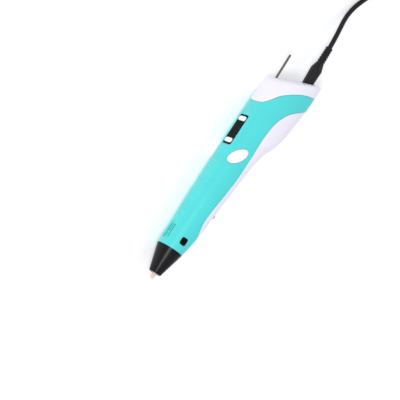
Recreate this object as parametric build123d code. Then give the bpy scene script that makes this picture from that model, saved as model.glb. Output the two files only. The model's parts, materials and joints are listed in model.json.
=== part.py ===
"""A hand-held 3D drawing pen with its power lead, as separate pieces, in millimetres.

The pen is modelled along X: the nozzle's cover starts at X = 0 and the filament runs along the X axis, +Z
points at the display and +Y at the far side. lay_down then rests it on that far side, +Z up, for export.
"""

import math
import os

from build123d import *

os.makedirs("parts", exist_ok=True)

# Outer body: x, top, bottom, half width and squareness (0.553 is a true ellipse) of each cross-section.
STATIONS = [
    (20.8, 10.2, -10.2, 10.2, 0.553),
    (28, 9.95, -11.9, 10.7, 0.57),
    (37, 9.7, -13.5, 11.2, 0.59),
    (60, 9.5, -15.8, 12.3, 0.61),
    (80, 8.85, -17.6, 13.1, 0.62),
    (94, 8.3, -19.1, 13.7, 0.63),
    (108, 7.75, -21.2, 14.25, 0.64),
    (117, 7.4, -24.0, 14.6, 0.65),
    (123, 7.25, -27.2, 14.8, 0.66),
    (129, 7.1, -29.8, 15.0, 0.67),
    (142, 6.3, -32.2, 15.3, 0.69),
    (153, 5.5, -33.6, 15.5, 0.70),
    (163, 4.8, -34.9, 15.5, 0.70),
    (172, 4.2, -35.3, 15.5, 0.70),
    (190, 3.1, -35.5, 15.4, 0.70),
]
WALL = 1.8
SEAM = 0.14  # gap between two shells at their joint line
LYING_HEIGHT = 15.53  # the filament's height over the table with the pen on its side
REAR_AT = (166.8, 5.3)  # x and z of the slanted rear face at the top
REAR_SLANT = 23.8
REAR_ROUNDING = 3.0

# Joint lines of the shells in side view, as x, z.
CAP_LINE = [
    (144.2, 9), (146, 5.5), (150.7, 2), (156.9, -2.1), (162.7, -8.9), (168.8, -19.8), (171.9, -30.4), (172.9, -40),
]
BELLY_LINE = [
    (34.5, -15.5), (37, -11), (42, -8.1), (49, -6.1), (58, -6.3), (74, -8.3), (90, -9.8), (107, -9.5),
    (129, -9.1), (141.5, -11.6), (151, -17.5), (158.3, -27.1), (161, -31.2), (164.5, -40),
]

# Nozzle end.
COVER_LENGTH, COVER_FRONT_R, COVER_REAR_R, COVER_WALL = 20.8, 4.7, 10.3, 1.2
NOZZLE_REACH, NOZZLE_R, NOZZLE_ROOT_R, ORIFICE_R = 4.5, 1.5, 1.72, 0.35
HEAT_TUBE_R, HEATER_BORE_R, HEATER_R = 2.2, 2.95, 4.2
LEAD_PLACES = [(y, z) for y in (-2.4, 2.4) for z in (-2.6, -3.8)]
PIN_PLACES = [(y, -7.2) for y in (-3, -1, 1, 3)]
LATCH_X, LATCH_LENGTH, LATCH_WIDTH, LATCH_TRAVEL = 29.6, 5.3, 4.9, 1.2
VENT_X, VENT_LENGTH, VENT_WIDTH, SLOT_YS = 32.3, 13.2, 6.8, (-2.0, 0, 2.0)

# Screw bosses: x, y, parting height and screw head of each in the belly, then the two in the cap.
BELLY_BOSSES = [(58, -6.5, -9.9, -12.2), (58, 6.5, -9.9, -12.2), (118, -8, -12, -17), (118, 8, -12, -17)]
CAP_BOSS_YS, CAP_BOSS_Z, CAP_HEAD = (-11.8, 11.8), -15.0, 171.5
BOSS_R, PILOT_R, HEAD_R, THREAD_R = 2.2, 0.95, 1.8, 0.9

# Display: a flat window tilted with the pen's back.
WINDOW = (25.2, 10.0, 1.0)
WINDOW_AT = Pos(120.4, 0, 6.6) * Rot(0, 1.7, 0)
KEY_OFFSET, KEY_LENGTH, KEY_WIDTH, KEY_TRAVEL = 9.35, 3.7, 8.6, 0.35
BOARD_TOP, BOARD_THICKNESS = -3.0, 1.0

# Oval side buttons, one on each flank.
BUTTON_AT, BUTTON_TILT, BUTTON_TURN = (103.0, 12.9, 1.0), 22.4, 34.0
BUTTON_LENGTH, BUTTON_WIDTH, BUTTON_TRAVEL = 16.5, 8.5, 0.7

# Filament and its drive.
FILAMENT_R, FILAMENT_FRONT, FILAMENT_REAR = 0.875, 25.0, 189.0
TUBE_BORE_R, TUBE_R = 1.0, 2.0
DRIVE_X, GEAR_R, BEARING_R, RUNNING_GAP = 150.0, 3.2, 3.0, 0.03
GEAR_Y = FILAMENT_R + GEAR_R + RUNNING_GAP
BEARING_Y = -(FILAMENT_R + BEARING_R + RUNNING_GAP)
PIVOT_X, PIVOT_Y = 160.0, -5.2
MOTOR_TOP, GEARBOX_HEIGHT, CAN_HEIGHT = -4.0, 9.0, 15.0

# Power inlet and lead.
JACK_Z, JACK_REAR = -26.6, 176.3
CABLE_R = 1.8
COIL_X, COIL_Z, COIL_TURN_R, COIL_ACROSS, COIL_HEIGHT = 292.0, -26.5, 20.2, 12.8, 11.0

# The lead from the plug to the coil, and its tail from the coil to the far plug: x, z and height over the table.
LEAD_ROUTE = [
    (212, -26.6, 15.5), (221, -26.9, 14.6), (231, -28.2, 11.2), (241, -31.0, 6.2), (251, -35.0, 2.9),
    (261, -39.6, 2.1), (271.5, -43.6, 2.6), (282, -46.1, 4.2), (292, -46.7, 5.4),
]
TAIL_ROUTE = [
    (309.5, -16.4, 5.6), (303.5, -6.0, 5.5), (296.7, 1.3, 5.0), (287.9, 6.0, 4.2), (279, 7.4, 4.0),
]

# Middle of the pen's box, which becomes the origin.
CENTRE_X, CENTRE_Y = 92.25, -12.62

nodes = {}


def block(x, y, z):
    """A box between two x, two y and two z values."""
    middle = [(a + b) / 2 for a, b in (x, y, z)]
    return Pos(*middle) * Box(x[1] - x[0], y[1] - y[0], z[1] - z[0])


def rod(x0, x1, radius, y=0.0, z=0.0):
    """A round bar along X."""
    return Pos((x0 + x1) / 2, y, z) * Rot(0, 90, 0) * Cylinder(radius, x1 - x0)


def post(z0, z1, radius, x=0.0, y=0.0):
    """A round bar along Z."""
    return Pos(x, y, (z0 + z1) / 2) * Cylinder(radius, z1 - z0)


def tube(x0, x1, bore, radius, y=0.0, z=0.0):
    return rod(x0, x1, radius, y, z) - rod(x0 - 1, x1 + 1, bore, y, z)


def group(pieces):
    """Separate solids that share one node."""
    return Compound(children=[solid for piece in pieces for solid in piece.solids()])


def section(station, shrink):
    """One closed cross-section of the body, four curves that meet squarely on the axes."""
    x, top, bottom, half, square = station
    middle, rise = (top + bottom) / 2, (top - bottom) / 2 - shrink
    ends = [(1, 0), (0, 1), (-1, 0), (0, -1), (1, 0)]
    quarters = []
    for (ay, az), (by, bz) in zip(ends, ends[1:]):
        poles = [(ay, az), (ay + square * by, az + square * bz), (by + square * ay, bz + square * az), (by, bz)]
        quarters.append(Bezier(*[(x, y * (half - shrink), middle + z * rise) for y, z in poles]))
    return Wire(quarters)


def rear_plane(shrink=0.0):
    slant = math.radians(REAR_SLANT)
    plane = Plane(origin=(REAR_AT[0], 0, REAR_AT[1]), z_dir=(math.cos(slant), 0, math.sin(slant)))
    return plane.offset(-shrink)


def body(shrink=0.0, rounding=0.0):
    """The pen's outer form, or one a constant distance inside it."""
    loft_solid = Solid.make_loft([section(station, shrink) for station in STATIONS])
    cut = loft_solid - rear_plane(shrink) * Pos(0, 0, 50) * Box(200, 200, 100)
    solid = cut.solids().sort_by(Axis.X)[0]
    if rounding:
        face = solid.faces().sort_by(Axis.X)[-1]
        solid = solid.fillet(rounding, face.edges())
    return solid


def moved_aside(line, gap):
    """A joint line's points moved square to the line, to its right-hand side."""
    ends = [line[0], *line, line[-1]]
    points = []
    for before, (x, z), after in zip(ends, line, ends[2:]):
        dx, dz = after[0] - before[0], after[1] - before[1]
        length = math.hypot(dx, dz)
        points.append((x + gap * dz / length, z - gap * dx / length))
    return points


def side_region(line, corners):
    """A prism through the whole width, bounded by a joint line and straight sides."""
    face = make_face([Spline(*line), Polyline(line[-1], *corners, line[0])])
    return extrude(Plane.XZ * face, amount=40, both=True)


def oval(length, width, depth):
    return extrude(Ellipse(length / 2, width / 2), amount=depth, both=True)


def cap_region(gap=0.0):
    return side_region(moved_aside(CAP_LINE, -gap), [(230, -40), (230, 9)])


def belly_region(gap=0.0):
    return side_region(moved_aside(BELLY_LINE, gap), [(164.5, -60), (34.5, -60)])


def flank(side):
    """The frame of a side button: Z out of the flank, X along the oval."""
    tilt, turn = math.radians(BUTTON_TILT), math.radians(BUTTON_TURN)
    outward = (0, side * math.cos(tilt), math.sin(tilt))
    along = (math.cos(turn), side * math.sin(turn) * math.sin(tilt), -math.sin(turn) * math.cos(tilt))
    x, y, z = BUTTON_AT
    return Plane(origin=(x, side * y, z), x_dir=along, z_dir=outward)


def flank_board(side):
    """The frame of the board behind a side button, parallel to the pen's axis."""
    plane = flank(side)
    return Plane(origin=plane.origin, x_dir=(1, 0, 0), z_dir=plane.z_dir)


def knob_frame():
    """The frame of the speed slider on the far flank, Z out of the wall and X along the slot."""
    return Plane(origin=(74, 12.85, -1), x_dir=(1, 0.041, 0), z_dir=(-0.041, 1, 0))


def latch_prism(side, grow):
    outline = RectangleRounded(LATCH_LENGTH + grow, LATCH_WIDTH + grow, 1.3)
    return extrude(Plane(origin=(LATCH_X, 0, 0), x_dir=(1, 0, 0), z_dir=(0, side, 0)) * outline, amount=20)


def key_shape(grow, z0, z1):
    return Pos(0, 0, z0) * extrude(RectangleRounded(KEY_LENGTH + grow, KEY_WIDTH + grow, 1.7), amount=z1 - z0)


def make_shells():
    outer, inner = body(0.0, REAR_ROUNDING), body(WALL)
    wall = outer - inner
    main = wall - cap_region() - belly_region()
    belly = wall & belly_region(SEAM)
    cap = wall & cap_region(SEAM)
    form = body(0.6)

    # The flat for the display, its pocket and the opening under it.
    ramp = make_face(Polyline((-13.6, 0), (13.6, 0), (18.6, 5), (-18.6, 5), (-13.6, 0)))
    main -= WINDOW_AT * extrude(Plane.XZ * ramp, amount=20, both=True)
    pocket = Pos(0, 0, -WINDOW[2]) * extrude(RectangleRounded(WINDOW[0] + 0.2, WINDOW[1] + 0.2, 1.3), amount=5)
    main -= WINDOW_AT * pocket
    main -= WINDOW_AT * block((-12.1, 12.1), (-4.6, 4.6), (-4, 0))

    # The sunk vent and its slots.
    vent = Pos(VENT_X, 0, 0) * extrude(RectangleRounded(VENT_LENGTH, VENT_WIDTH, 2.6), amount=20)
    main -= vent - body(0.9)
    for y in SLOT_YS:
        main -= Pos(VENT_X, y, 0) * extrude(RectangleRounded(10.4, 1.1, 0.54), amount=20)

    # Openings for the latches, the side buttons and the speed slider.
    for side in (-1, 1):
        main -= latch_prism(side, 0.4)
        main -= flank(side) * oval(BUTTON_LENGTH + 0.4, BUTTON_WIDTH + 0.4, 5.5)
    main -= knob_frame() * block((-5.6, 5.6), (-1.2, 1.2), (-4, 4))

    # Screw bosses: four for the belly, two for the cap, two for the board.
    for x, y, join, head in BELLY_BOSSES:
        boss = post(join, 12, BOSS_R, x, y) & form
        main = main + boss - post(join - 1, join + 6, PILOT_R, x, y)
        boss = post(-40, join - 0.05, BOSS_R, x, y) & form & belly_region(SEAM)
        belly = belly + boss - post(-40, head, HEAD_R + 0.2, x, y) - post(head - 1, join, PILOT_R, x, y)
    for y in CAP_BOSS_YS:
        boss = rod(157, 173, BOSS_R, y, CAP_BOSS_Z) & form
        main = main + (boss - cap_region()) - rod(158, 180, PILOT_R, y, CAP_BOSS_Z)
        cap = cap + (boss & cap_region(SEAM)) - rod(CAP_HEAD, 190, HEAD_R + 0.1, y, CAP_BOSS_Z)
        cap -= rod(158, CAP_HEAD + 1, PILOT_R, y, CAP_BOSS_Z)
    for y in (-4.2, 4.2):
        boss = (WINDOW_AT * post(BOARD_TOP, 4, 1.5, -20.5, y)) & form
        main = main + boss - WINDOW_AT * post(BOARD_TOP - 1, -0.5, 0.75, -20.5, y)

    # Rear openings: filament and power plug.
    cap -= rod(160, 185, 1.5)
    cap -= rod(JACK_REAR + 0.1, 190, 4.7, 0, JACK_Z)
    nodes.update(main_shell=main, belly_shell=belly, rear_cap=cap)


def make_nozzle_end():
    slope = (COVER_REAR_R - COVER_FRONT_R) / COVER_LENGTH
    inside = COVER_FRONT_R - COVER_WALL + slope * COVER_WALL
    profile = make_face(Polyline(
        (0, 1.9), (0, COVER_FRONT_R), (COVER_LENGTH, COVER_REAR_R), (COVER_LENGTH, 8.25), (COVER_LENGTH + 3, 8.1),
        (COVER_LENGTH + 3, 7.2), (COVER_LENGTH - 6, 7.2), (COVER_WALL, inside), (COVER_WALL, 1.9), (0, 1.9),
    ))
    front = profile.vertices().filter_by(lambda v: v.X < 0.01)
    profile = fillet(front.sort_by(Axis.Y)[-1], 0.9)
    nodes["nozzle_cover"] = revolve(profile, Axis.X)

    # The tip is slimmer where it stands out of the cover than at its root inside.
    tip = make_face(Polyline(
        (-NOZZLE_REACH, ORIFICE_R), (-NOZZLE_REACH, 0.95), (-NOZZLE_REACH + 0.9, NOZZLE_R), (0, NOZZLE_R),
        (0, NOZZLE_ROOT_R), (2.2, NOZZLE_ROOT_R), (2.2, 2.5), (3.6, 2.5), (3.6, NOZZLE_ROOT_R), (6, NOZZLE_ROOT_R),
        (6, TUBE_BORE_R), (1, TUBE_BORE_R), (0, ORIFICE_R), (-NOZZLE_REACH, ORIFICE_R),
    ))
    nodes["ceramic_nozzle"] = revolve(tip, Axis.X)
    holder = rod(3.6, 22, HEATER_BORE_R - 0.05) - rod(3, 6.1, NOZZLE_ROOT_R + 0.02)
    nodes["nozzle_holder"] = holder - rod(5, 23, TUBE_BORE_R)
    nodes["ceramic_heater"] = tube(8, 20, HEATER_BORE_R, HEATER_R)
    nodes["thermistor"] = rod(10, 13.5, 0.42, 0, 4.66)
    nodes["insulation_sleeve"] = tube(10.5, 20, 5.15, 5.7)
    nodes["heat_tube"] = tube(22, 34, TUBE_BORE_R, HEAT_TUBE_R)
    nodes["heater_leads"] = group([rod(20.1, 30, 0.35, y, z) for y, z in LEAD_PLACES])

    carrier = rod(20.9, 23.6, 7.1) + rod(23.5, 46, 5.0)
    carrier += block((24, 46), (-4.5, 4.5), (-6.6, 0))
    carrier = carrier - rod(20, 34, HEAT_TUBE_R + 0.05) - rod(33, 47, TUBE_R + 0.05)
    for y, z in LEAD_PLACES:
        carrier -= rod(20, 30.2, 0.4, y, z)
    nodes["hot_end_carrier"] = carrier - rod(20, 22.1, 3.0)
    nodes["hot_end_board"] = block((26, 44), (-4.5, 4.5), (-7.7, -6.65))
    nodes["contact_pins"] = group([rod(44, 49.5, 0.3, y, z) for y, z in PIN_PLACES])
    socket = block((46.1, 52), (-4.8, 4.8), (-9.4, -5.4))
    for y, z in PIN_PLACES:
        socket -= rod(45, 50, 0.36, y, z)
    nodes["hot_end_socket"] = socket

    for side, name in ((-1, "nozzle_latch_near"), (1, "nozzle_latch_far")):
        inner_limit = block((0, 60), (7.6, 20), (-9, 9)) if side > 0 else block((0, 60), (-20, -7.6), (-9, 9))
        pad = latch_prism(side, 0) & body(-0.1)
        flange = latch_prism(side, 2.0) & body(WALL + 0.15)
        nodes[name] = (pad + flange) & inner_limit


def make_display():
    window = Pos(0, 0, -WINDOW[2]) * extrude(RectangleRounded(WINDOW[0], WINDOW[1], 1.2), amount=WINDOW[2])
    window = window.fillet(0.25, window.edges().group_by(Axis.Z)[-1])
    for side, name in ((-1, "temp_up_key"), (1, "temp_down_key")):
        window -= Pos(side * KEY_OFFSET, 0, 0) * key_shape(0.24, -2, 1)
        cap = key_shape(0, -1.05, 0.35)
        cap = cap.fillet(0.3, cap.edges().group_by(Axis.Z)[-1])
        key = cap + block((-2.3, 2.3), (-4.4, 4.4), (-1.6, -1.05))
        nodes[name] = WINDOW_AT * Pos(side * KEY_OFFSET, 0, 0) * key
    nodes["display_window"] = WINDOW_AT * window
    nodes["lcd_module"] = WINDOW_AT * block((-6.7, 6.7), (-4.3, 4.3), (BOARD_TOP, -1.05))
    board = block((-22.4, 13.4), (-5.5, 5.5), (BOARD_TOP - BOARD_THICKNESS, BOARD_TOP))
    screws, switches = [], []
    for y in (-4.2, 4.2):
        board -= post(-6, 0, 0.85, -20.5, y)
        screws.append(post(-4.95, -4.0, 1.3, -20.5, y) + post(-4.0, -0.9, 0.72, -20.5, y))
    for side in (-1, 1):
        switch = block((-1.5, 1.5), (-2, 2), (BOARD_TOP, -2.3)) + post(-2.3, -2.0, 0.8)
        switches.append(WINDOW_AT * Pos(side * KEY_OFFSET, 0, 0) * switch)
    nodes["main_board"] = WINDOW_AT * board
    nodes["board_screws"] = group([WINDOW_AT * screw for screw in screws])
    nodes["key_switches"] = group(switches)
    nodes["controller_chip"] = WINDOW_AT * block((-18.3, -13.6), (-2.4, 2.4), (BOARD_TOP, -2.0))
    capacitors = [post(BOARD_TOP, -1.2, 1.0, -20.6, y) for y in (-1.3, 1.3)]
    nodes["capacitors"] = group([WINDOW_AT * capacitor for capacitor in capacitors])


def make_side_buttons():
    proud = body(-0.6)
    for side, kind in ((-1, "feed"), (1, "unload")):
        frame, straight = flank(side), flank_board(side)
        cap = (frame * oval(BUTTON_LENGTH, BUTTON_WIDTH, 3.6)) & proud
        cap -= frame * Pos(0, 0, 38.2) * Sphere(38)
        flange = (frame * oval(BUTTON_LENGTH + 2.4, BUTTON_WIDTH + 2.4, 3.6)) & body(WALL + 0.15)
        nodes[f"{kind}_button"] = (cap + flange).solids().sort_by(SortBy.VOLUME)[-1]
        switch = block((-3, 3), (-3, 3), (-7.4, -4.9)) + post(-4.9, -4.4, 1.7)
        nodes[f"{kind}_switch"] = straight * switch
        nodes[f"{kind}_board"] = straight * block((-10, 10), (-4, 4), (-8.6, -7.4))


def make_speed_control():
    knob = Pos(0, 0, 0.75) * Box(6.2, 4.6, 1.3)
    knob = knob.fillet(0.5, knob.edges().group_by(Axis.Z)[-1])
    for x in (-1.6, 0, 1.6):
        knob -= Pos(x, 0, 1.5) * Rot(90, 0, 0) * Cylinder(0.32, 6)
    nodes["speed_knob"] = knob_frame() * (knob + block((-1.1, 1.1), (-1, 1), (-3.4, 0.2)))
    nodes["speed_potentiometer"] = knob_frame() * block((-8, 8), (-2.6, 2.6), (-6.2, -3.6))


def make_drive():
    nodes["filament"] = rod(FILAMENT_FRONT, FILAMENT_REAR, FILAMENT_R)
    nodes["guide_tube_front"] = tube(34, 145.5, TUBE_BORE_R, TUBE_R)
    nodes["guide_tube_rear"] = tube(154.5, 165.3, TUBE_BORE_R, TUBE_R)

    bottom = MOTOR_TOP - GEARBOX_HEIGHT
    gearbox = block((DRIVE_X - 6, DRIVE_X + 6), (GEAR_Y - 5, GEAR_Y + 5), (bottom, MOTOR_TOP))
    gearbox -= post(-7.5, 0, 1.55, DRIVE_X, GEAR_Y)
    can = post(bottom - CAN_HEIGHT, bottom, 6, DRIVE_X, GEAR_Y)
    can &= block((DRIVE_X - 7, DRIVE_X + 7), (GEAR_Y - 5, GEAR_Y + 5), (-40, 0))
    nodes["motor_gearbox"] = gearbox
    nodes["motor_can"] = can
    nodes["motor_end_cap"] = post(bottom - CAN_HEIGHT - 1.2, bottom - CAN_HEIGHT, 2.5, DRIVE_X, GEAR_Y)
    nodes["motor_shaft"] = post(-7, 2.1, 1.5, DRIVE_X, GEAR_Y)
    gear = post(-2.5, 2.0, GEAR_R, DRIVE_X, GEAR_Y) - post(-3, 3, 1.5, DRIVE_X, GEAR_Y)
    groove = post(-3, 3, 0.28, GEAR_R + 0.05)
    nodes["drive_gear"] = gear - [Pos(DRIVE_X, GEAR_Y, 0) * Rot(0, 0, turn * 15) * groove for turn in range(24)]

    bearing = post(-1.25, 1.25, BEARING_R, DRIVE_X, BEARING_Y) - post(-2, 2, 1.5, DRIVE_X, BEARING_Y)
    for z in (-1.25, 1.25):
        ring = post(z - 0.15, z + 0.15, 2.5, DRIVE_X, BEARING_Y) - post(z - 1, z + 1, 2.0, DRIVE_X, BEARING_Y)
        bearing -= ring
    nodes["idler_bearing"] = bearing
    nodes["idler_pin"] = post(-1.8, 1.9, 1.45, DRIVE_X, BEARING_Y)
    arm = post(-3.8, -1.8, 2.3, DRIVE_X, BEARING_Y) + post(-3.8, -1.8, 2.3, PIVOT_X, PIVOT_Y)
    angle = math.degrees(math.atan2(BEARING_Y - PIVOT_Y, DRIVE_X - PIVOT_X))
    reach = math.hypot(BEARING_Y - PIVOT_Y, DRIVE_X - PIVOT_X)
    arm += Pos(PIVOT_X, PIVOT_Y, -2.8) * Rot(0, 0, angle) * Pos(reach / 2, 0, 0) * Box(reach, 4.4, 2)
    arm += post(-1.8, 0.6, 1.95, PIVOT_X, PIVOT_Y)
    nodes["idler_arm"] = arm - post(-5, 2, 1.25, PIVOT_X, PIVOT_Y)
    nodes["pivot_pin"] = post(-8, 1.2, 1.2, PIVOT_X, PIVOT_Y)
    winding = Helix(0.5, 1.75, 2.3)
    wound = sweep(Plane(origin=winding @ 0, z_dir=winding % 0) * Circle(0.18), path=winding, is_frenet=True)
    nodes["idler_spring"] = Pos(PIVOT_X, PIVOT_Y, -1.5) * wound

    bracket = block((156.1, 164.5), (-8.2, 10.6), (-8, -5)) + block((144, 157), (-3.4, GEAR_Y - 5.05), (-8, -5))
    bracket += block((144, 157), (GEAR_Y + 5.05, 10.6), (-8, -5))
    nodes["drive_bracket"] = bracket - post(-9, -4, 1.2, PIVOT_X, PIVOT_Y)


def make_power_inlet():
    jack = block((164.5, JACK_REAR), (-4.5, 4.5), (JACK_Z - 5.0, JACK_Z + 5.2))
    jack -= rod(166, JACK_REAR + 1, 2.85, 0, JACK_Z)
    nodes["dc_jack"] = group([jack, rod(166, 175, 0.95, 0, JACK_Z)])
    nodes["plug_barrel"] = tube(167, JACK_REAR + 0.15, 1.15, 2.75, 0, JACK_Z)
    plug = make_face(Polyline(
        (JACK_REAR + 0.15, 0), (JACK_REAR + 0.15, 4.15), (181.5, 4.15), (193.2, 4.55), (194.3, 4.25), (198.6, 2.95),
        (212, 2.7), (212, 0), (JACK_REAR + 0.15, 0),
    ))
    plug = revolve(plug, Axis.X)
    for rib in range(6):
        x = 199.2 + rib * 2.1
        plug -= tube(x, x + 0.9, 2.35, 4)
    nodes["dc_plug"] = Pos(0, 0, JACK_Z) * plug


def lead_tube(route, name):
    """A round lead along straight runs joined by arcs as large as the runs allow."""
    points = [Vector(x, LYING_HEIGHT - height, z) for x, z, height in route]
    radii = []
    for before, here, after in zip(points, points[1:], points[2:]):
        turn = math.radians((here - before).get_angle(after - here))
        radii.append(0.45 * min((here - before).length, (after - here).length) / math.tan(turn / 2))
    path = FilletPolyline(*points, radius=radii)
    print(name, "radii", [round(radius) for radius in radii], "length", round(path.length, 1))
    start = Plane(origin=points[0], z_dir=points[1] - points[0])
    solid = sweep(start * Circle(CABLE_R), path=path)
    print(name, "volume", round(solid.volume), "of", round(math.pi * CABLE_R**2 * path.length))
    return solid


def make_lead():
    nodes["power_cable"] = lead_tube(LEAD_ROUTE, "power_cable")
    nodes["cable_tail"] = lead_tube(TAIL_ROUTE, "cable_tail")

    # The coil is a ring of the bundle's outer shape, pressed in a little where the tie holds it.
    across, height, thin = COIL_ACROSS, COIL_HEIGHT, 0.9
    bundle = Pos(COIL_TURN_R, height / 2) * RectangleRounded(across, height, 3.5)
    coil = revolve(Plane.XZ * bundle, Axis.Z)
    beside = Pos(COIL_TURN_R, 0, height / 2)
    pressed = Box(across + 2, 4.4, height + 2) - Box(across - 2 * thin, 5, height - 2 * thin)
    band = Box(across - 0.1, 4, height - 0.1) - Box(across - 2 * thin + 0.05, 5, height - 2 * thin + 0.05)
    table_frame = Pos(COIL_X, LYING_HEIGHT, COIL_Z) * Rot(90, 0, 0)
    tie_turn = Rot(0, 0, 200)
    nodes["cable_coil"] = table_frame * (coil - tie_turn * beside * pressed)
    nodes["cable_tie"] = table_frame * tie_turn * beside * band

    # The far plug lies flat on the table, in line with the tail's end.
    (x0, z0, _), (x1, z1, height) = TAIL_ROUTE[-2:]
    end = Plane(origin=(x1, LYING_HEIGHT - height, z1), x_dir=(x1 - x0, 0, z1 - z0), z_dir=(0, -1, 0))
    relief = Pos(5, 0, 0) * Rot(0, 90, 0) * Cone(2.3, 3.2, 10)
    grip = extrude(Pos(21, 0) * RectangleRounded(22, 15.6, 2), amount=4, both=True)
    grip = grip.fillet(1.2, grip.edges().group_by(Axis.Z)[-1] + grip.edges().group_by(Axis.Z)[0])
    socket = block((32, 43.6), (-6, 6), (-2.25, 2.25)) - block((31, 45), (-5.7, 5.7), (-1.95, 1.95))
    nodes["usb_plug"] = end * (relief + grip + block((31.5, 42.5), (-5.6, 5.6), (0.1, 1.85)))
    nodes["usb_shell"] = end * socket


def wire(radius, *points):
    """An insulated wire along straight runs with rounded bends."""
    path = FilletPolyline(*points, radius=1.5)
    return sweep(Plane(origin=path @ 0, z_dir=path % 0) * Circle(radius), path=path)


def make_wiring():
    """Two wires from the power inlet and two from the motor, all to the main board's underside."""
    wires = []
    for y in (-5.6, -4.0):
        power = [(164.4, y + 1.5, -24), (158, y, -23), (140, y, -20), (130, y + 1, -12), (130, y + 1, -4.6)]
        wires.append(wire(0.6, *power))
    for y in (2.6, 4.0):
        motor = [(150, y, -29.7), (146.5, y, -29.65), (141.5, y, -27.5), (138, y, -12), (126, y - 1, -9)]
        wires.append(wire(0.4, *motor, (126, y - 1, -4.6)))
    nodes["wiring"] = group(wires)


def make_screws():
    screws = []
    for x, y, join, head in BELLY_BOSSES:
        screws.append(post(head - 1.3, head, HEAD_R, x, y) + post(head, join + 5.5, THREAD_R, x, y))
    nodes["belly_screws"] = group(screws)
    screws = []
    for y in CAP_BOSS_YS:
        head = rod(CAP_HEAD, CAP_HEAD + 1.2, HEAD_R - 0.1, y, CAP_BOSS_Z)
        screws.append(head + rod(159, CAP_HEAD, THREAD_R, y, CAP_BOSS_Z))
    nodes["cap_screws"] = group(screws)


def lay_down(shape):
    """Rests the pen on its far flank, with the nozzle along +X and the display towards -Y."""
    turned = shape.rotate(Axis.X, -90).rotate(Axis.Z, 180)
    return turned.translate((CENTRE_X, CENTRE_Y, LYING_HEIGHT))


if __name__ == "__main__":
    make_shells()
    make_nozzle_end()
    make_display()
    make_side_buttons()
    make_speed_control()
    make_drive()
    make_power_inlet()
    make_lead()
    make_wiring()
    make_screws()
    for name, shape in nodes.items():
        export_step(lay_down(shape), f"parts/{name}.step")
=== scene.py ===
import json
import math

import bmesh
import bpy
import numpy as np
from mathutils import Matrix, Vector

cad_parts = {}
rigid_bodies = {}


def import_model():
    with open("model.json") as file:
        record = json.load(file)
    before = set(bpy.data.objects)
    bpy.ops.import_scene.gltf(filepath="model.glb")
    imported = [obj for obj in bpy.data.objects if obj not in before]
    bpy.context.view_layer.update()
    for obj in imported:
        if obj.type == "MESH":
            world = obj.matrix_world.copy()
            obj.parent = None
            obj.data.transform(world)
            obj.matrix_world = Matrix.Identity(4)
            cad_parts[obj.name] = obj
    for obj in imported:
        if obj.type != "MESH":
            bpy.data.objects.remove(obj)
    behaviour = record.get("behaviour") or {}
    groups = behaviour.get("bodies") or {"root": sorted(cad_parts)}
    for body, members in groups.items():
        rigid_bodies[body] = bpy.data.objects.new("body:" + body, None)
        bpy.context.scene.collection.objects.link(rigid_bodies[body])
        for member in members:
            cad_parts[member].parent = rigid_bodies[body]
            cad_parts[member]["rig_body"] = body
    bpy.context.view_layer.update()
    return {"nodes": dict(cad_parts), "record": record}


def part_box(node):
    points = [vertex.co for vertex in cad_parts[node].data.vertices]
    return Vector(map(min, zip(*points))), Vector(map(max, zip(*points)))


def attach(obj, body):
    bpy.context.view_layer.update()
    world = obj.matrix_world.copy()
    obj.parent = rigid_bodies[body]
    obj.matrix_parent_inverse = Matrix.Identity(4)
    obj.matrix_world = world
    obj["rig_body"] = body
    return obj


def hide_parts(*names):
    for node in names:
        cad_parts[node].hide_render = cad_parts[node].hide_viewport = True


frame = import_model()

# The pen's own frame, in millimetres: x from the nozzle cover's front to the rear along the filament,
# y towards the far flank and z towards the display. row() turns it into the shared frame, in metres.
cover_low, cover_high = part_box("nozzle_cover")
NOSE = Vector((cover_high.x, (cover_low.y + cover_high.y) / 2, (cover_low.z + cover_high.z) / 2))

# Outer body: x, top, bottom, half width and squareness of each cross-section.
STATIONS = np.array([
    (20.8, 10.2, -10.2, 10.2, 0.553),
    (28, 9.95, -11.9, 10.7, 0.57),
    (37, 9.7, -13.5, 11.2, 0.59),
    (60, 9.5, -15.8, 12.3, 0.61),
    (80, 8.85, -17.6, 13.1, 0.62),
    (94, 8.3, -19.1, 13.7, 0.63),
    (108, 7.75, -21.2, 14.25, 0.64),
    (117, 7.4, -24.0, 14.6, 0.65),
    (123, 7.25, -27.2, 14.8, 0.66),
    (129, 7.1, -29.8, 15.0, 0.67),
    (142, 6.3, -32.2, 15.3, 0.69),
    (153, 5.5, -33.6, 15.5, 0.70),
    (163, 4.8, -34.9, 15.5, 0.70),
    (172, 4.2, -35.3, 15.5, 0.70),
    (190, 3.1, -35.5, 15.4, 0.70),
])
SLOPES = np.gradient(STATIONS[:, 1:], STATIONS[:, 0], axis=0)
# Where the rear cap and the belly shell meet the main shell, in side view: x and z.
CAP_LINE = [
    (144.2, 9), (146, 5.5), (150.7, 2), (156.9, -2.1),
    (162.7, -8.9), (168.8, -19.8), (171.9, -30.4), (172.9, -40),
]
BELLY_LINE = [
    (34.5, -15.5), (37, -11), (42, -8.1), (49, -6.1), (58, -6.3),
    (74, -8.3), (90, -9.8), (107, -9.5), (129, -9.1), (141.5, -11.6),
    (151, -17.5), (158.3, -27.1), (161, -31.2), (164.5, -40),
]

WALL = 1.5
SHELL_FRONT = 20.8
SEAM_ROUNDING, VENT_ROUNDING, SEAM_HALF_GAP = 0.42, 0.1, 0.05

# The slanted rear face: where it meets the top, its slant, its rounding and the skin ahead of it.
REAR_X, REAR_Z, REAR_SLANT, REAR_ROUNDING = 166.8, 5.3, math.radians(23.8), 3.0
REAR_MIDDLE_Z, REAR_SKIN, REAR_FACE, REAR_REACH = -14.5, 21.0, 14.0, 39.612
# Openings in it, as y, z and radius: the strand, the plug and the two cap screws.
REAR_HOLES = [(0, 0, 1.5), (0, -26.6, 4.7), (-11.8, -15, 1.9), (11.8, -15, 1.9)]

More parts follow.
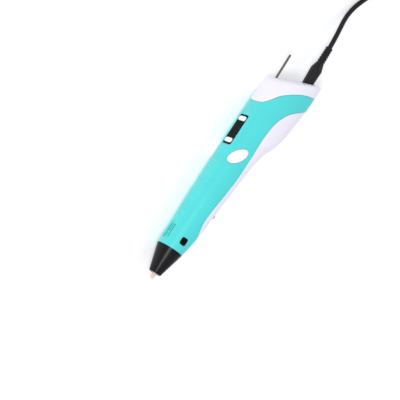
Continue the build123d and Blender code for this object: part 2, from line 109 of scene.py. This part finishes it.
# The display window, in a soft flat that fades out past its ends.
WINDOW_X, WINDOW_Z, WINDOW_TILT = 120.4, 6.6, math.radians(1.7)
WINDOW_LENGTH, WINDOW_WIDTH, WINDOW_CORNER, WINDOW_GAP = 25.2, 10.0, 1.3, 0.1
FLAT_HALF_LENGTH, FLAT_RAMP, FLAT_BLEND = 13.4, 0.35, 0.25

# The oval button on each flank.
BUTTON_AT, BUTTON_TILT, BUTTON_TURN = (103.0, 12.9, 1.0), math.radians(22.4), math.radians(34)
BUTTON_HALF_LENGTH, BUTTON_HALF_WIDTH, BUTTON_GAP = 8.25, 4.25, 0.2

# Half lengths and half widths of the other openings, with their corner radii.
LATCH_X, LATCH_HALF, LATCH_CORNER = 29.6, (2.85, 2.65), 1.4
SPEED_SLOT_AT, SPEED_SLOT_HALF, SPEED_SLOT_CORNER = (74, -1), (5.6, 1.2), 0.3
VENT_X, VENT_HALF, VENT_CORNER, VENT_DEPTH = 32.3, (6.6, 3.4), 2.6, 0.95
SLOT_YS, SLOT_HALF, SLOT_CORNER = (-2.0, 0, 2.0), (5.2, 0.55), 0.54
BOSS_HOLES, BOSS_HOLE_RADIUS = [(58, -6.5), (58, 6.5), (118, -8), (118, 8)], 2.0

# How finely the shells are cut: cells around, and the distances to an edge at which cells are halved.
AROUND, REFINE_REACHES = 96, (2.4, 1.2, 0.6)


def row(points):
    """The pen's own millimetres, turned into the shared frame's metres."""
    p = np.asarray(points, float) / 1000
    return np.stack([NOSE.x - p[..., 0], NOSE.y - p[..., 2], NOSE.z - p[..., 1]], -1)


# ---------------------------------------------------------------- camera, light and floor

RIGHT = Vector((-0.523, 0.650, 0.551))
UP = Vector((-0.839, -0.505, -0.201))
BACK = Vector((0.148, -0.567, 0.810))
CAMERA_DISTANCE, CAMERA_LENS, CAMERA_SEES_TO = 2.4, 299.1, 20
SKY_COLOUR, SKY_STRENGTH = (0.93, 0.95, 1.0, 1), 0.62
FLOOR_HALF, FLOOR_COLOUR, FLOOR_GLOW, FLOOR_ROUGHNESS = 2, (0.76, 0.76, 0.765, 1), 0.32, 0.7
AIM = NOSE + 0.0320 * RIGHT + 0.0534 * UP


def make_camera():
    data = bpy.data.cameras.new("camera")
    data.lens = CAMERA_LENS
    data.clip_end = CAMERA_SEES_TO
    camera = bpy.data.objects.new("camera", data)
    bpy.context.scene.collection.objects.link(camera)
    camera.location = AIM + CAMERA_DISTANCE * BACK
    basis = [RIGHT.normalized(), UP.normalized(), BACK.normalized()]
    camera.rotation_mode = "QUATERNION"
    camera.rotation_quaternion = Matrix(basis).transposed().to_quaternion()
    bpy.context.scene.camera = camera


def area_light(name, offset, size, power, colour):
    """A round lamp at an offset from the point the camera aims at, turned towards it."""
    data = bpy.data.lights.new(name, "AREA")
    data.shape = "DISK"
    data.size = size
    data.energy = power
    data.color = colour
    light = bpy.data.objects.new(name, data)
    bpy.context.scene.collection.objects.link(light)
    light.location = AIM + Vector(offset)
    light.rotation_euler = (AIM - light.location).to_track_quat("-Z", "Y").to_euler()


def make_sky():
    world = bpy.data.worlds.new("studio")
    world.use_nodes = True
    background = world.node_tree.nodes["Background"]
    background.inputs[0].default_value = SKY_COLOUR
    background.inputs[1].default_value = SKY_STRENGTH
    bpy.context.scene.world = world


def make_floor():
    mesh = bpy.data.meshes.new("floor")
    half = FLOOR_HALF
    corners = [(-half, -half, 0), (half, -half, 0), (half, half, 0), (-half, half, 0)]
    mesh.from_pydata(corners, [], [(0, 1, 2, 3)])
    floor = bpy.data.objects.new("floor", mesh)
    bpy.context.scene.collection.objects.link(floor)
    material = bpy.data.materials.new("floor")
    material.use_nodes = True
    shader = material.node_tree.nodes["Principled BSDF"]
    shader.inputs["Base Color"].default_value = FLOOR_COLOUR
    shader.inputs["Roughness"].default_value = FLOOR_ROUGHNESS
    shader.inputs["Emission Color"].default_value = (1, 1, 1, 1)
    shader.inputs["Emission Strength"].default_value = FLOOR_GLOW
    mesh.materials.append(material)


# ---------------------------------------------------------------- materials


class Maker:
    """A material's node tree, with the few nodes that every finish here uses."""

    def __init__(self, name):
        self.material = bpy.data.materials.new(name)
        self.material.use_nodes = True
        self.tree = self.material.node_tree
        self.shader = self.tree.nodes["Principled BSDF"]
        coordinates = self.node("ShaderNodeTexCoord")
        self.place = coordinates.outputs["Object"]

    def node(self, kind, **values):
        made = self.tree.nodes.new(kind)
        for key, value in values.items():
            if hasattr(made, key):
                setattr(made, key, value)
            else:
                made.inputs[key].default_value = value
        return made

    def link(self, source, target):
        self.tree.links.new(source, target)

    def noise(self, scale, detail=3.0, roughness=0.5, stretch=None):
        texture = self.node("ShaderNodeTexNoise", Scale=scale, Detail=detail, Roughness=roughness)
        if stretch:
            mapping = self.node("ShaderNodeMapping")
            mapping.inputs["Scale"].default_value = stretch
            self.link(self.place, mapping.inputs["Vector"])
            self.link(mapping.outputs[0], texture.inputs["Vector"])
        else:
            self.link(self.place, texture.inputs["Vector"])
        return texture.outputs["Fac"]

    def remap(self, value, low, high, from_low=0.3, from_high=0.7):
        made = self.node("ShaderNodeMapRange")
        made.inputs["From Min"].default_value, made.inputs["From Max"].default_value = from_low, from_high
        made.inputs["To Min"].default_value, made.inputs["To Max"].default_value = low, high
        self.link(value, made.inputs["Value"])
        return made.outputs["Result"]

    def colours(self, factor, first, second):
        made = self.node("ShaderNodeMix", data_type="RGBA")
        self.link(factor, made.inputs["Factor"])
        made.inputs[6].default_value = (*first, 1)
        made.inputs[7].default_value = (*second, 1)
        return made.outputs[2]

    def bump(self, height, strength, distance, before=None):
        made = self.node("ShaderNodeBump")
        made.inputs["Strength"].default_value = strength
        made.inputs["Distance"].default_value = distance
        self.link(height, made.inputs["Height"])
        if before:
            self.link(before, made.inputs["Normal"])
        return made.outputs["Normal"]

    def sockets(self, **values):
        for key, value in values.items():
            self.shader.inputs[key.replace("_", " ")].default_value = value


def worn_edges(maker, base, worn):
    """The base colour, with the worn one in specks along the sharp edges."""
    geometry = maker.node("ShaderNodeNewGeometry")
    edge = maker.remap(geometry.outputs["Pointiness"], 0.0, 0.25, 0.55, 0.65)
    speck = maker.remap(maker.noise(700.0, 2.0), 0.0, 1.0, 0.45, 0.62)
    mask = maker.node("ShaderNodeMath", operation="MULTIPLY")
    maker.link(edge, mask.inputs[0])
    maker.link(speck, mask.inputs[1])
    wear = maker.node("ShaderNodeMix", data_type="RGBA")
    maker.link(mask.outputs[0], wear.inputs["Factor"])
    maker.link(base, wear.inputs[6])
    wear.inputs[7].default_value = (*worn, 1)
    return wear.outputs[2]


def moulded(name, colour, lift, roughness, grain=3800.0, specular=0.5, bump=0.04, worn=None):
    """Injection-moulded plastic: faint colour drift, a fine spark-eroded grain and worn edges."""
    maker = Maker(name)
    drift = maker.remap(maker.noise(55.0, 4.0), 0.0, 1.0)
    base = maker.colours(drift, colour, tuple(min(1.0, c * lift) for c in colour))
    worn = worn or tuple(min(1.0, c * 1.25 + 0.05) for c in colour)
    maker.link(worn_edges(maker, base, worn), maker.shader.inputs["Base Color"])
    smudge = maker.remap(maker.noise(120.0, 5.0, 0.65), roughness - 0.05, roughness + 0.05)
    maker.link(smudge, maker.shader.inputs["Roughness"])
    fine = maker.bump(maker.noise(grain, 2.0), bump, 0.00004)
    ripple = maker.bump(maker.noise(90.0, 2.0), 0.03, 0.0004, fine)
    maker.link(ripple, maker.shader.inputs["Normal"])
    maker.sockets(IOR=1.5, Specular_IOR_Level=specular)
    return maker.material


def metal(name, colour, roughness):
    """Drawn or turned metal, with fine lines along its length."""
    maker = Maker(name)
    lines = maker.noise(1.0, 3.0, 0.6, stretch=(40.0, 900.0, 900.0))
    base = maker.colours(maker.remap(lines, 0, 1), colour, tuple(c * 0.82 for c in colour))
    maker.link(base, maker.shader.inputs["Base Color"])
    maker.link(maker.remap(lines, roughness - 0.08, roughness + 0.1), maker.shader.inputs["Roughness"])
    maker.link(maker.bump(lines, 0.15, 0.00005), maker.shader.inputs["Normal"])
    maker.sockets(Metallic=1.0)
    return maker.material


def make_plastics():
    """Each plastic's colour, its lift where the colour drifts, its roughness and what sets it apart."""
    rows = {
        "turquoise_shell": ("turquoise", (0.075, 0.66, 0.655), 1.06, 0.30, {}),
        "white_shell": ("white", (0.86, 0.83, 0.91), 1.04, 0.30, {}),
        "white_button": ("white_key", (0.90, 0.88, 0.93), 1.03, 0.26, {}),
        "black_cover": ("black_satin", (0.006, 0.005, 0.007), 1.3, 0.26,
                        {"specular": 0.2, "worn": (0.03, 0.03, 0.033)}),
        "black_gloss": ("black_gloss", (0.004, 0.004, 0.005), 1.3, 0.16,
                        {"specular": 0.06, "bump": 0.02, "worn": (0.01, 0.01, 0.01)}),
        "black_plastic": ("black_matte", (0.010, 0.010, 0.011), 1.3, 0.42,
                          {"specular": 0.25, "worn": (0.04, 0.04, 0.04)}),
        "grey_plastic": ("grey_nylon", (0.20, 0.20, 0.21), 1.2, 0.5, {}),
        "cable_jacket": ("jacket", (0.010, 0.010, 0.011), 1.4, 0.45,
                         {"specular": 0.25, "worn": (0.035, 0.035, 0.035)}),
        "ceramic": ("ceramic", (0.78, 0.68, 0.48), 0.9, 0.45, {}),
        "ptfe": ("ptfe", (0.85, 0.85, 0.83), 0.97, 0.38, {}),
        "mica": ("glass_sleeve", (0.60, 0.53, 0.40), 0.85, 0.8, {"grain": 1500.0, "bump": 0.5}),
        "circuit_board": ("solder_mask", (0.015, 0.17, 0.06), 1.2, 0.3, {}),
        "lcd": ("lcd_glass", (0.03, 0.035, 0.03), 1.1, 0.12, {}),
        "capacitor": ("capacitor_sleeve", (0.08, 0.08, 0.22), 1.1, 0.35, {}),
        "sensor": ("glass_bead", (0.7, 0.3, 0.12), 1.1, 0.2, {}),
        "lead_wire": ("silicone", (0.5, 0.04, 0.03), 1.1, 0.5, {}),
        "filament": ("strand", (0.105, 0.085, 0.065), 1.15, 0.38, {"grain": 900.0}),
    }
    return {slot: moulded(*facts, **extra) for slot, (*facts, extra) in rows.items()}


def make_metals():
    return {
        "brass": metal("brass", (0.72, 0.52, 0.20), 0.30),
        "steel": metal("steel", (0.56, 0.56, 0.57), 0.32),
    }


make_camera()
make_sky()
area_light("key", (0.25, -0.45, 0.75), 0.28, 4.4, (1.0, 0.99, 0.97))
area_light("fill", (-0.6, 0.35, 0.6), 0.6, 0.9, (0.92, 0.96, 1.0))
make_floor()
bpy.context.scene.view_settings.view_transform = "Standard"
slots = {entry["node"]: entry["material_slot"] for entry in frame["record"]["subparts"]}
finishes = {**make_plastics(), **make_metals()}
for node_name, thing in frame["nodes"].items():
    thing.data.materials.clear()
    thing.data.materials.append(finishes[slots[node_name]])

# ---------------------------------------------------------------- the power lead

CORD_RADIUS, CORD_LENGTH = 1.8, 1.2
COIL_X, COIL_Z, COIL_RADIUS, COIL_MIDDLE = 292.0, -26.5, 20.2, 5.5
COIL_TURNS, POINTS_PER_TURN, COIL_START = 8 + 1 / 3, 24, -90
# The tie: where it sits, in degrees from the coil's start, how far round it squeezes and by how much.
TIE_TURN, TIE_REACH, TIE_SQUEEZE = 200.0, 14, 0.14
# A turn crosses to the next place over so many degrees, each crossing so many degrees before the last.
CROSSING, STAGGER = 60, 30
# The route's points: x, z and height over the table.
LEAD_POINTS = [
    (212, -26.6, 15.5), (221, -26.9, 14.6), (231, -28.2, 11.2), (241, -31.0, 6.2),
    (251, -35.0, 2.9), (261, -39.9, 1.9), (270.5, -44.6, 1.9), (281, -49.2, 1.9),
]
TAIL_POINTS = [(308, -5, 9.0), (301.5, 1.6, 7.4), (294, 4.8, 5.2), (287.9, 6.0, 4.2), (279, 7.4, 4.0)]
# Where each turn lies in the bundle: outwards from its middle and up from the table.
COIL_SLOTS = [
    (4.4, 1.9), (0, 1.9), (-4.4, 1.9), (-4.4, 5.55), (-4.4, 9.2),
    (0, 9.2), (0, 5.55), (4.4, 5.55), (4.4, 9.2),
]


def place_in_bundle(turned):
    """How far out and how high the cord lies after so many degrees round the coil."""
    outward, height = COIL_SLOTS[0]
    for turn, (here, there) in enumerate(zip(COIL_SLOTS, COIL_SLOTS[1:])):
        start = (turn + 1) * (360 - STAGGER)
        share = min(1, max(0, (turned - start) / CROSSING))
        share = share * share * (3 - 2 * share)
        outward += share * (there[0] - here[0])
        height += share * (there[1] - here[1])
    return outward, height


def coil_points():
    """The turns, each crossing to the next turn's place a little earlier than the one before it."""
    points = []
    for count in range(round(COIL_TURNS * POINTS_PER_TURN) + 1):
        turned = count * 360 / POINTS_PER_TURN
        outward, height = place_in_bundle(turned)
        from_tie = (turned + COIL_START - TIE_TURN + 180) % 360 - 180
        squeeze = 1 - TIE_SQUEEZE * math.exp(-((from_tie / TIE_REACH) ** 2))
        radius = COIL_RADIUS + outward * squeeze
        angle = math.radians(turned + COIL_START)
        height = COIL_MIDDLE + (height - COIL_MIDDLE) * squeeze
        points.append((COIL_X + radius * math.cos(angle), COIL_Z + radius * math.sin(angle), height))
    return points


def in_row(x, z, height):
    """A point of the cord in the shared frame."""
    return (NOSE.x - x / 1000, NOSE.y - z / 1000, height / 1000)


def make_cord():
    data = bpy.data.curves.new("lead", "CURVE")
    data.dimensions = "3D"
    spline = data.splines.new("NURBS")
    route = [*LEAD_POINTS, *coil_points(), *TAIL_POINTS]
    spline.points.add(len(route) - 1)
    for point, place in zip(spline.points, route):
        point.co = (*in_row(*place), 1)
    spline.order_u = 3
    spline.use_endpoint_u = True
    data.bevel_depth = CORD_RADIUS / 1000
    data.bevel_resolution = 6
    data.resolution_u = 6
    cord = bpy.data.objects.new("lead_cord", data)
    bpy.context.scene.collection.objects.link(cord)
    data.materials.append(finishes["cable_jacket"])
    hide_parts("power_cable", "cable_coil", "cable_tail")
    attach(cord, frame["nodes"]["power_cable"]["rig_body"])


make_cord()

# ---------------------------------------------------------------- the outer shells as fine meshes


def hermite(t, here, there, slope_here, slope_there):
    """A smooth curve from one value to the next, with the slope it has at each."""
    values = (2 * t**3 - 3 * t**2 + 1) * here + (t**3 - 2 * t**2 + t) * slope_here
    return values + (3 * t**2 - 2 * t**3) * there + (t**3 - t**2) * slope_there


def cross_section(x):
    """Top, bottom, half width and squareness at each x, on smooth curves through the stations."""
    xs = STATIONS[:, 0]
    at = np.clip(np.searchsorted(xs, x, side="right") - 1, 0, len(xs) - 2)
    span = (xs[at + 1] - xs[at])[..., None]
    t = (x - xs[at])[..., None] / span
    sides = STATIONS[at, 1:], STATIONS[at + 1, 1:]
    values = hermite(t, *sides, SLOPES[at] * span, SLOPES[at + 1] * span)
    return np.moveaxis(values, -1, 0)


def body_points(x, turn):
    """Points of the outer form; turn runs 0 to 4 from one flank over the top and round the belly."""
    top, bottom, half, square = cross_section(x)
    quarter = np.floor(turn) % 4
    t = turn - np.floor(turn)
    angle = quarter * math.pi / 2
    ay, az, by, bz = np.cos(angle), np.sin(angle), -np.sin(angle), np.cos(angle)
    ka = (1 - t) ** 3 + 3 * (1 - t) ** 2 * t + 3 * square * (1 - t) * t**2
    kb = t**3 + 3 * (1 - t) * t**2 + 3 * square * (1 - t) ** 2 * t
    y = half * (ka * ay + kb * by)
    z = (top + bottom) / 2 + (top - bottom) / 2 * (ka * az + kb * bz)
    return np.stack([x, y, z], -1)


def window_frame(points):
    """Points in the tilted frame of the display window: along it, across it and above it."""
    x, z = points[..., 0] - WINDOW_X, points[..., 2] - WINDOW_Z
    c, s = math.cos(WINDOW_TILT), math.sin(WINDOW_TILT)
    return x * c - z * s, points[..., 1], x * s + z * c


def vent_outline(points):
    """Distance outside the sunk panel of the vent."""
    return rounded_box(points[..., 0] - VENT_X, points[..., 1], VENT_HALF, VENT_CORNER)


def soft_min(a, b, width):
    """The lower of two heights, blended where they are close."""
    h = np.clip(0.5 + 0.5 * (b - a) / width, 0, 1)
    return b * (1 - h) + a * h - width * h * (1 - h)


def front_form(x, turn):
    """The body with the soft flat for the display and the sunk vent."""
    points = body_points(x, turn)
    along, _, height = window_frame(points)
    ceiling = np.maximum(0, np.abs(along) - FLAT_HALF_LENGTH) * FLAT_RAMP
    lowered = soft_min(height, ceiling, FLAT_BLEND) - height
    points[..., 2] += np.where(points[..., 2] > 0, lowered, 0)
    floor = np.clip((0.12 - vent_outline(points)) / 0.3, 0, 1)
    sink = VENT_DEPTH * floor * floor * (3 - 2 * floor)
    points[..., 2] -= np.where(points[..., 2] > 0, sink, 0)
    return points


def rear_form(reach, turn):
    """The rear cap's form: the skin, its rounding, then the slanted rear face in to its middle."""
    bend = REAR_ROUNDING * math.pi / 2
    phi = np.clip((reach - REAR_SKIN) / REAR_ROUNDING, 0, math.pi / 2)
    inward = np.clip((reach - REAR_SKIN - bend) / REAR_FACE, 0, 1)
    on_skin = REAR_SKIN - reach + REAR_ROUNDING
    ahead = np.where(reach < REAR_SKIN, on_skin, REAR_ROUNDING * (1 - np.sin(phi)))
    slope, z = math.tan(REAR_SLANT), np.full(np.shape(reach), -15.0)
    for _ in range(6):
        x = REAR_X + (REAR_Z - z) * slope - ahead / math.cos(REAR_SLANT)
        points = body_points(x, turn)
        z = points[..., 2]
    top, bottom, half, _ = cross_section(points[..., 0])
    rise, middle = (top - bottom) / 2, (top + bottom) / 2
    outward = np.stack([points[..., 1] / half**2, (z - middle) / rise**2], -1)
    outward /= np.linalg.norm(outward, axis=-1, keepdims=True) + 1e-9
    pull = REAR_ROUNDING * (1 - np.cos(phi))
    points[..., 1] -= outward[..., 0] * pull
    z_new = points[..., 2] - outward[..., 1] * pull
    points[..., 0] += (points[..., 2] - z_new) * slope
    points[..., 2] = z_new
    centre = np.array([REAR_X + (REAR_Z - REAR_MIDDLE_Z) * slope, 0.0, REAR_MIDDLE_Z])
    return points + (centre - points) * inward[..., None]


def curve_through(line, steps=9):
    """A smooth curve through a joint line's points."""
    points = np.array(line, float)
    gaps = np.linalg.norm(np.diff(points, axis=0), axis=1)
    at = np.concatenate([[0], np.cumsum(gaps)])
    slopes = np.gradient(points, at, axis=0)
    t = np.linspace(0, 1, steps, endpoint=False)[:, None]
    pieces = []
    for i, gap in enumerate(gaps):
        pieces.append(hermite(t, points[i], points[i + 1], slopes[i] * gap, slopes[i + 1] * gap))
    return np.concatenate([*pieces, points[-1:]])


def beside_line(points, curve):
    """Signed side-view distance to a joint line, positive to its left (above or behind it)."""
    flat = points[..., [0, 2]].reshape(-1, 2)
    result = np.empty(len(flat))
    start, step = curve[:-1], np.diff(curve, axis=0)
    size = (step**2).sum(1)
    for first in range(0, len(flat), 4000):
        part = flat[first:first + 4000, None, :] - start[None]
        t = np.clip((part * step).sum(-1) / size, 0, 1)
        apart = part - t[..., None] * step
        nearest = np.argmin((apart**2).sum(-1), axis=1)
        pick = np.arange(len(nearest))
        away, way = apart[pick, nearest], step[nearest]
        side = np.sign(way[:, 0] * away[:, 1] - way[:, 1] * away[:, 0])
        result[first:first + 4000] = side * np.sqrt((away**2).sum(-1))
    return result.reshape(points.shape[:-1])


def rounded_box(a, b, half, radius):
    """Signed distance outside a rounded rectangle."""
    da, db = np.abs(a) - half[0] + radius, np.abs(b) - half[1] + radius
    outside = np.hypot(np.maximum(da, 0), np.maximum(db, 0))
    return outside + np.minimum(np.maximum(da, db), 0) - radius


def flank_frame(points, side):
    """Points in the frame of a side button: along the oval, across it and out of the flank."""
    normal = np.array([0, side * math.cos(BUTTON_TILT), math.sin(BUTTON_TILT)])
    turn = BUTTON_TURN
    along = np.array([math.cos(turn), side * math.sin(turn) * math.sin(BUTTON_TILT),
                      -math.sin(turn) * math.cos(BUTTON_TILT)])
    across = np.cross(normal, along)
    offset = points - np.array([BUTTON_AT[0], side * BUTTON_AT[1], BUTTON_AT[2]])
    return offset @ along, offset @ across, offset @ normal


CAP_CURVE, BELLY_CURVE = curve_through(CAP_LINE), curve_through(BELLY_LINE)
# A distance that leaves an edge out of account, where a cut doesn't reach.
FAR = 50.0


def cut_where(keep, reached, opening):
    """Takes an opening out of the material, where the cut reaches."""
    return np.minimum(keep, np.where(reached, opening, FAR))


def button_opening(points, side):
    """Distance outside a side button's oval hole, and how far out of the flank each point lies."""
    a, b, out = flank_frame(points, side)
    long, wide = BUTTON_HALF_LENGTH + BUTTON_GAP, BUTTON_HALF_WIDTH + BUTTON_GAP
    return (np.sqrt((a / long) ** 2 + (b / wide) ** 2) - 1) * wide, out


def main_material(points):
    """Positive where the main shell has material, as a distance from its nearest edge."""
    x, y, z = points[..., 0], points[..., 1], points[..., 2]
    seams = np.minimum(-beside_line(points, CAP_CURVE), beside_line(points, BELLY_CURVE))
    keep = np.minimum(seams - SEAM_HALF_GAP, x - SHELL_FRONT)
    latch = rounded_box(x - LATCH_X, z, LATCH_HALF, LATCH_CORNER)
    keep = cut_where(keep, np.abs(y) > 5, latch)
    for side in (-1, 1):
        oval, out = button_opening(points, side)
        keep = cut_where(keep, out > -6, oval)
    slot_x, slot_z = SPEED_SLOT_AT
    slot = rounded_box(x - slot_x, z - slot_z, SPEED_SLOT_HALF, SPEED_SLOT_CORNER)
    keep = cut_where(keep, y > 5, slot)
    for slot_y in SLOT_YS:
        vent = rounded_box(x - VENT_X, y - slot_y, SLOT_HALF, SLOT_CORNER)
        keep = cut_where(keep, z > 0, vent)
    along, across, height = window_frame(points)
    half = WINDOW_LENGTH / 2 + WINDOW_GAP, WINDOW_WIDTH / 2 + WINDOW_GAP
    window = rounded_box(along, across, half, WINDOW_CORNER)
    return cut_where(keep, height > -3, window)


def belly_material(points):
    """Positive where the belly shell has material."""
    x, y, z = points[..., 0], points[..., 1], points[..., 2]
    keep = -beside_line(points, BELLY_CURVE) - SEAM_HALF_GAP
    for hole_x, hole_y in BOSS_HOLES:
        hole = np.hypot(x - hole_x, y - hole_y) - BOSS_HOLE_RADIUS
        keep = cut_where(keep, z < -6, hole)
    return keep


def cap_material(points):
    """Positive where the rear cap has material."""
    x, y, z = points[..., 0], points[..., 1], points[..., 2]
    keep = beside_line(points, CAP_CURVE) - SEAM_HALF_GAP
    rear = x > REAR_X + (REAR_Z - z) * math.tan(REAR_SLANT) - 2.0
    for hole_y, hole_z, radius in REAR_HOLES:
        hole = np.hypot(y - hole_y, z - hole_z) - radius
        keep = cut_where(keep, rear, hole)
    return keep


# Half steps along and round a form, for its directions there.
STEP_ALONG, STEP_ROUND = 0.05, 0.004


def moved(form, p, along, around):
    """The form's points a little further along and round, and a little less far."""
    low = form(p[:, 0] - along, p[:, 1] - around)
    high = form(p[:, 0] + along, p[:, 1] + around)
    return low, high


def edge_distance(material, form, p):
    """Distance along the surface to the material's edge, near that edge."""
    result = material(form(p[:, 0], p[:, 1]))
    near = np.abs(result) < 1.2
    here, p = result[near], p[near]
    rates = []
    for along, around in ((STEP_ALONG, 0.0), (0.0, STEP_ROUND)):
        low, high = moved(form, p, along, around)
        rates.append((material(high) - material(low), high - low))
    (fa, va), (fb, vb) = rates
    aa, bb, ab = (va**2).sum(-1), (vb**2).sum(-1), (va * vb).sum(-1)
    det = np.maximum(aa * bb - ab**2, 1e-12)
    slope = np.sqrt(np.maximum((fa**2 * bb - 2 * fa * fb * ab + fb**2 * aa) / det, 1e-6))
    result[near] = here / np.clip(slope, 0.35, 1.6)
    return result


def edge_rounding(points):
    """Radius of the rounded edge at each point: nearly sharp in the vent, softer everywhere else."""
    in_vent = (vent_outline(points) < 0) & (points[..., 2] > 0)
    return np.where(in_vent, VENT_ROUNDING, SEAM_ROUNDING)


def outward_normals(form, p):
    low, high = moved(form, p, 0.02, 0.0)
    before, after = moved(form, p, 0.0, STEP_ROUND)
    normal = np.cross(after - before, high - low)
    return normal / (np.linalg.norm(normal, axis=-1, keepdims=True) + 1e-12)


def parameters(bm):
    """Each vertex's two parameters, which it holds as its x and y until the skin is placed."""
    return np.array([v.co[:2] for v in bm.verts])


def refine(bm, distance_of, reach):
    """Cuts every cell that comes within reach of an edge of the material."""
    distance = np.abs(distance_of(parameters(bm)))
    bm.verts.index_update()
    edges = {e for f in bm.faces if min(distance[v.index] for v in f.verts) < reach for e in f.edges}
    bmesh.ops.subdivide_edges(bm, edges=list(edges), cuts=1, use_grid_fill=True)


def trim(bm, distance_of):
    """Cuts the cells along the edge of the material and removes what lies outside it."""
    distance = dict(zip(bm.verts, distance_of(parameters(bm))))
    on_edge = set()
    for edge in list(bm.edges):
        a, b = edge.verts
        if distance[a] * distance[b] < 0:
            _, vert = bmesh.utils.edge_split(edge, a, distance[a] / (distance[a] - distance[b]))
            distance[vert] = 0.0
            on_edge.add(vert)
    for face in list(bm.faces):
        cut = [v for v in face.verts if v in on_edge]
        while len(cut) >= 2:
            first, second = cut[0], cut[1]
            if not any(second in e.verts for e in first.link_edges if face in e.link_faces):
                bmesh.utils.face_split(face, first, second)
            cut = cut[2:]
    outside = [f for f in bm.faces if sum(distance[v] for v in f.verts) < 0]
    bmesh.ops.delete(bm, geom=outside, context="FACES")
    bmesh.ops.dissolve_degenerate(bm, dist=1e-4, edges=bm.edges)


def make_grid(first, last, steps):
    """A grid of cells over a form's two parameters, along it and round it."""
    bm = bmesh.new()
    turns = np.linspace(0, 4, AROUND + 1)
    verts = [[bm.verts.new((a, b, 0)) for b in turns] for a in np.linspace(first, last, steps)]
    for one, two in zip(verts, verts[1:]):
        for i in range(AROUND):
            bm.faces.new((one[i], one[i + 1], two[i + 1], two[i]))
    return bm


def place_skin(bm, form, material):
    """Lays the cells on the form, with the surface rounded down along every edge."""
    p = parameters(bm)
    distance, points = edge_distance(material, form, p), form(p[:, 0], p[:, 1])
    normals = outward_normals(form, p)
    rounding = edge_rounding(points)
    inner = np.clip(rounding - distance, 0, rounding)
    sunk = rounding - np.sqrt(np.maximum(rounding**2 - inner**2, 0))
    for vert, co in zip(bm.verts, row(points - normals * sunk[:, None])):
        vert.co = co
    bmesh.ops.remove_doubles(bm, verts=bm.verts, dist=2e-6)
    bmesh.ops.recalc_face_normals(bm, faces=bm.faces)


def give_wall(piece):
    """Turns a skin into a shell of the moulded wall's thickness, shaded smooth."""
    solid = piece.modifiers.new("wall", "SOLIDIFY")
    solid.thickness = WALL / 1000
    solid.offset = -1
    bpy.context.view_layer.objects.active = piece
    bpy.ops.object.modifier_apply(modifier="wall")
    for polygon in piece.data.polygons:
        polygon.use_smooth = True


def finish_piece(piece, node):
    """Gives a piece its node's finish and body, and hides that node."""
    piece.data.materials.clear()
    piece.data.materials.append(finishes[slots[node]])
    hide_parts(node)
    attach(piece, frame["nodes"][node]["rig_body"])


def make_shell(name, node, form, material, first, last, steps):
    """A moulded shell: a fine skin with rounded edges at every joint and opening, and its wall."""
    bm = make_grid(first, last, steps)
    for reach in REFINE_REACHES:
        refine(bm, lambda p: material(form(p[:, 0], p[:, 1])), reach)
    trim(bm, lambda p: edge_distance(material, form, p))
    place_skin(bm, form, material)
    mesh = bpy.data.meshes.new(name)
    bm.to_mesh(mesh)
    bm.free()
    piece = bpy.data.objects.new(name, mesh)
    bpy.context.scene.collection.objects.link(piece)
    give_wall(piece)
    finish_piece(piece, node)


make_shell("main_shell_skin", "main_shell", front_form, main_material, 20.3, 176.0, 128)
make_shell("belly_shell_skin", "belly_shell", body_points, belly_material, 33.0, 168.0, 112)
make_shell("rear_cap_skin", "rear_cap", rear_form, cap_material, 0.0, REAR_REACH, 40)
